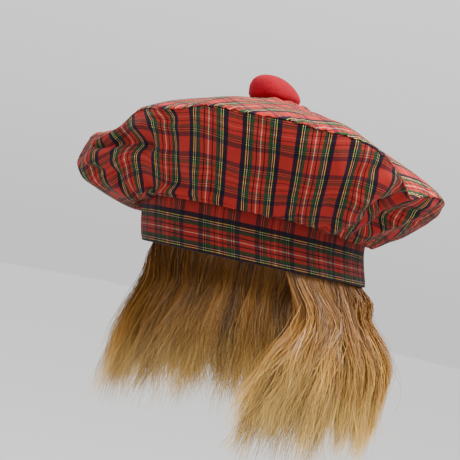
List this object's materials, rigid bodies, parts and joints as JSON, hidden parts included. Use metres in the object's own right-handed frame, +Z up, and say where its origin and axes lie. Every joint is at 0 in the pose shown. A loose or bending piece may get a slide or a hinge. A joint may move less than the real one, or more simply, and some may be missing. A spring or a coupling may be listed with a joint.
{
  "type": "tam o shanter with hair fringe",
  "caption": "soft tartan bonnet with a puffed round crown, a fitted headband, a pompom on top and a fringe of long wavy hair sewn inside the band round the sides and back",
  "frame": {"origin": "middle of the head opening, in the plane of the headband's lower edge", "axes": "+Z up through the crown, the wearer's front toward -Y, the wearer's left toward +X, with the hat level as on an upright head"},
  "size_m": [0.2755, 0.2629, 0.2799],
  "materials": {
    "crown_top": "matte woven tartan cotton",
    "crown_side": "matte woven tartan cotton",
    "headband": "matte woven tartan cotton",
    "pompom": "short red velvet pile",
    "hair_fringe": "ginger synthetic hair"
  },
  "bodies": {
    "root": {"crown_top": "crown_top", "crown_side": "crown_side", "headband": "headband", "pompom": "pompom", "hair_fringe": "hair_fringe"}
  },
  "joints": []
}
